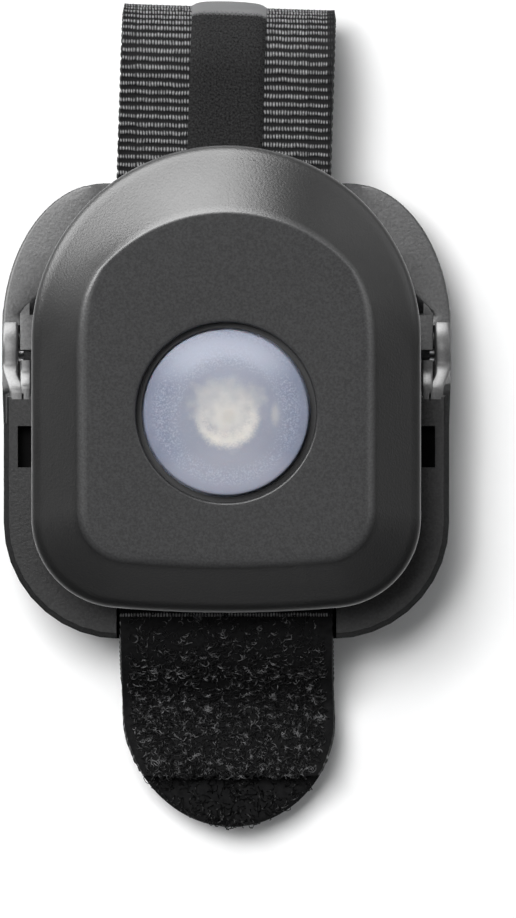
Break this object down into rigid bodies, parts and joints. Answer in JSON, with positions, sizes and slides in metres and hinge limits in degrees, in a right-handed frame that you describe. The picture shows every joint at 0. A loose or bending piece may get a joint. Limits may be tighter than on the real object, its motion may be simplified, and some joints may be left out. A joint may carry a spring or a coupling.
{
  "type": "strap-on clip lamp",
  "caption": "Small arch-shaped lamp with a push-button lens, held in a sliding cradle with a rear spring clip and a hook-and-loop strap.",
  "frame": {"origin": "under the lens axis on the face that the strap rests on", "axes": "+Z out of the lens, +Y to the lamp's top along the strap, +X to the right seen from the front"},
  "size_m": [0.0426, 0.0785, 0.0278],
  "materials": {
    "shell": "fine spark-eroded dark grey",
    "cradle": "fine spark-eroded dark grey",
    "lens": "milky diffusing lens",
    "rubber": "matte black",
    "inner_plastic": "moulded black",
    "emitter": "warm phosphor under clear resin",
    "reflector": "white moulded",
    "board": "green solder mask",
    "foam": "closed-cell foam",
    "cell": "laminated foil pouch",
    "steel": "bright",
    "webbing": "black woven nylon",
    "grip": "smooth silicone"
  },
  "bodies": {
    "base": {"cradle": "cradle", "hinge_pin": "steel", "torsion_spring": "steel", "strap_band": "webbing", "grip_strip": "grip", "loop_panel": "webbing", "hook_patch": "webbing"},
    "lamp": {"front_shell": "shell", "rear_cover": "shell", "housing_gasket": "rubber", "lens_seal": "rubber", "lens_retainer": "inner_plastic", "led_emitter": "emitter", "reflector_cup": "reflector", "main_board": "board", "controller_chip": "inner_plastic", "switch_body": "inner_plastic", "charge_socket": "steel", "battery_pad": "foam", "battery_cell": "cell", "cover_screw_1": "steel", "cover_screw_2": "steel", "cover_screw_3": "steel", "cover_screw_4": "steel"},
    "lens": {"lens_button": "lens"},
    "plunger": {"switch_plunger": "reflector"},
    "clip": {"clip_lever": "cradle", "jaw_pad": "rubber"},
    "flap": {"port_plug": "rubber"}
  },
  "joints": [
    {"name": "lamp_release", "type": "slide", "parent": "base", "child": "lamp", "axis": [0, -1, 0], "range_m": [0, 0.00665]},
    {"name": "lens_press", "type": "slide", "parent": "lamp", "child": "lens", "axis": [0, 0, -1], "range_m": [0, 0.0006], "stiffness_N_per_m": 1500},
    {"name": "plunger_press", "type": "slide", "parent": "lamp", "child": "plunger", "axis": [0, 0, -1], "range_m": [0, 0.0006]},
    {"name": "clip_open", "type": "hinge", "parent": "base", "child": "clip", "pos_m": [0, 0.00585, 0.0074], "axis": [1, 0, 0], "range_deg": [0, 11], "stiffness_Nm_per_rad": 0.1, "deforming": ["torsion_spring"]},
    {"name": "flap_open", "type": "hinge", "parent": "lamp", "child": "flap", "pos_m": [0, -0.0185, 0.0155], "axis": [1, 0, 0], "range_deg": [0, 95]}
  ],
  "couplings": [
    {"joint": "plunger_press", "follows": "lens_press", "ratio": 1}
  ]
}
